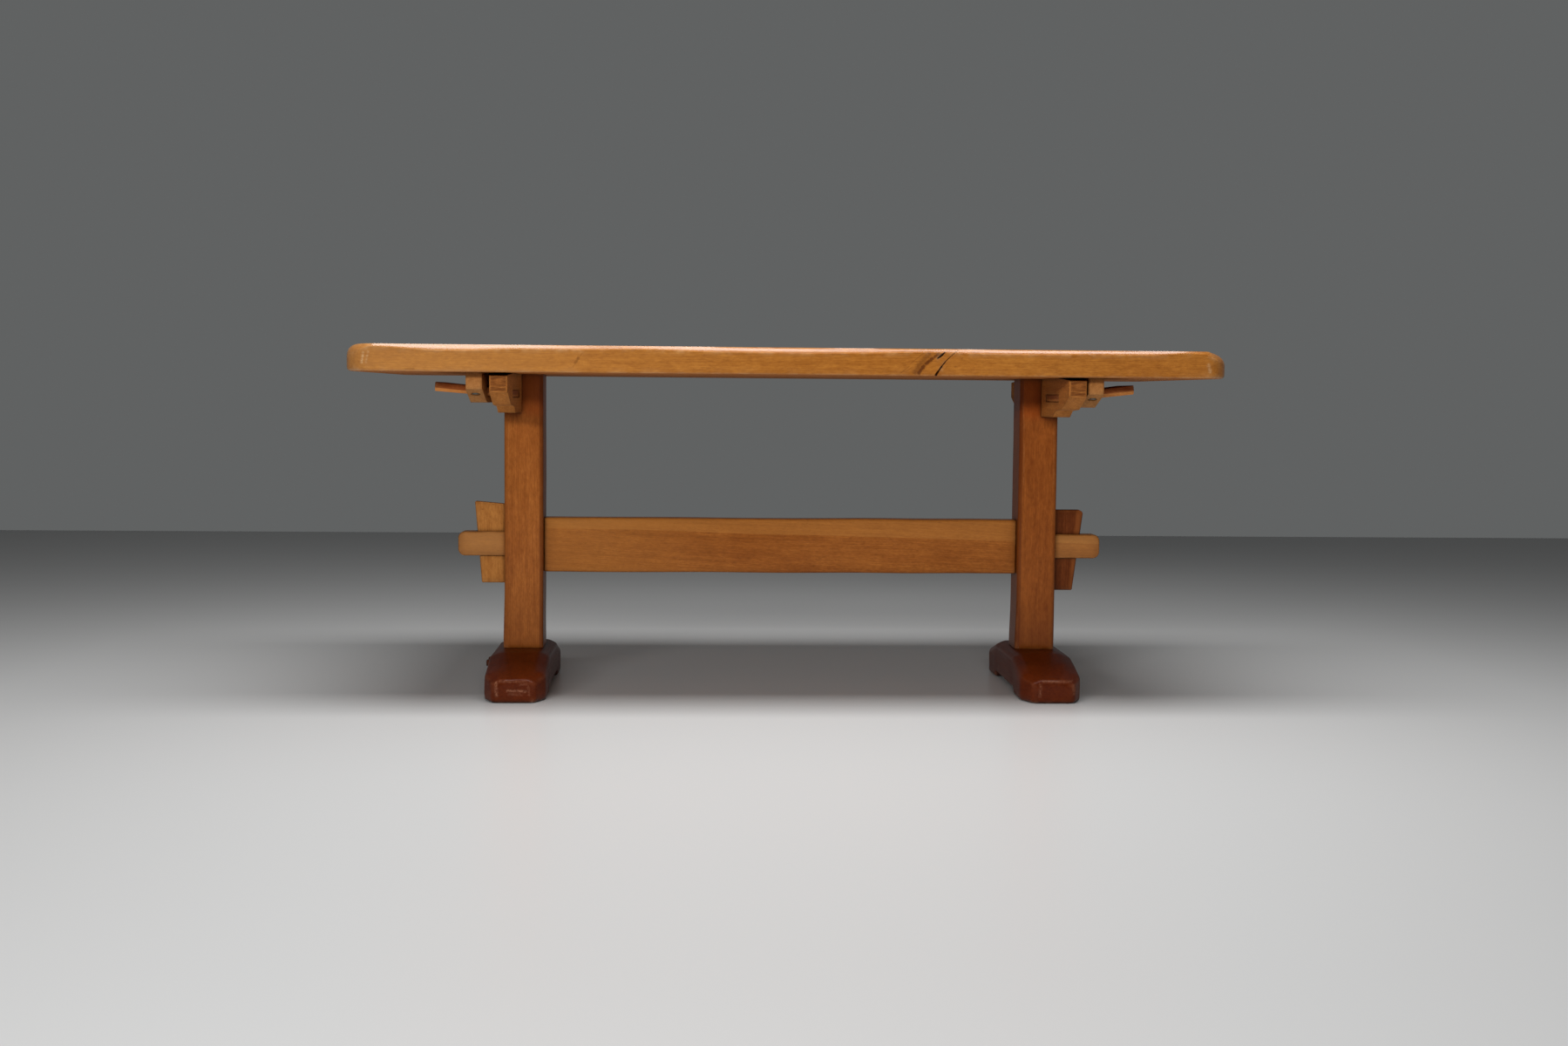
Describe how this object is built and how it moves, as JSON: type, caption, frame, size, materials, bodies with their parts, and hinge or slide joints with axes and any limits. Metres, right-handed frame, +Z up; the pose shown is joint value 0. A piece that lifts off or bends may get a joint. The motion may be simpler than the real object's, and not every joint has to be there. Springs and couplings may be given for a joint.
{
  "type": "trestle dining table",
  "caption": "Knock-down wooden trestle dining table: thick plank top on battens, post trestles with shaped feet and bearers, and a wedged through-tenon stretcher.",
  "frame": {"origin": "on the floor, under the centre of the top", "axes": "+X along the table, +Y to its rear long side, +Z up"},
  "size_m": [1.8, 0.8, 0.75],
  "materials": {
    "top_wood": "honey-coloured satin varnish",
    "tongue_wood": "unfinished",
    "stretcher_wood": "amber satin varnish",
    "post_wood": "reddish amber satin varnish",
    "bearer_wood": "amber satin varnish",
    "foot_wood": "dark red-brown varnish, semi-gloss",
    "wedge_wood": "red-brown satin varnish",
    "key_wood": "red-brown satin varnish",
    "peg_wood": "dark varnish",
    "screw_steel": "plain steel"
  },
  "bodies": {
    "table": {"top_plank_1": "top_wood", "top_plank_2": "top_wood", "top_plank_3": "top_wood", "top_plank_4": "top_wood", "top_tongue_1": "tongue_wood", "top_tongue_2": "tongue_wood", "top_tongue_3": "tongue_wood", "stretcher": "stretcher_wood", "left_batten": "bearer_wood", "left_batten_screws": "screw_steel", "left_bearer": "bearer_wood", "left_lap_pegs": "peg_wood", "left_post": "post_wood", "left_foot": "foot_wood", "left_foot_pegs": "peg_wood", "right_batten": "bearer_wood", "right_batten_screws": "screw_steel", "right_bearer": "bearer_wood", "right_lap_pegs": "peg_wood", "right_post": "post_wood", "right_foot": "foot_wood", "right_foot_pegs": "peg_wood"},
    "left_wedge": {"left_wedge": "wedge_wood"},
    "right_wedge": {"right_wedge": "wedge_wood"},
    "left_front_key": {"left_front_key": "key_wood"},
    "left_rear_key": {"left_rear_key": "key_wood"},
    "right_front_key": {"right_front_key": "key_wood"},
    "right_rear_key": {"right_rear_key": "key_wood"}
  },
  "joints": [
    {"name": "left_wedge_slide", "type": "slide", "parent": "table", "child": "left_wedge", "axis": [0, 0, 1], "range_m": [0, 0.12]},
    {"name": "right_wedge_slide", "type": "slide", "parent": "table", "child": "right_wedge", "axis": [0, 0, 1], "range_m": [0, 0.13]},
    {"name": "left_front_key_slide", "type": "slide", "parent": "table", "child": "left_front_key", "axis": [-0.9962, 0, 0.0872], "range_m": [0, 0.09]},
    {"name": "left_rear_key_slide", "type": "slide", "parent": "table", "child": "left_rear_key", "axis": [-0.9962, 0, 0.0872], "range_m": [0, 0.09]},
    {"name": "right_front_key_slide", "type": "slide", "parent": "table", "child": "right_front_key", "axis": [0.9925, 0, 0.1219], "range_m": [0, 0.08]},
    {"name": "right_rear_key_slide", "type": "slide", "parent": "table", "child": "right_rear_key", "axis": [0.9925, 0, 0.1219], "range_m": [0, 0.08]}
  ]
}
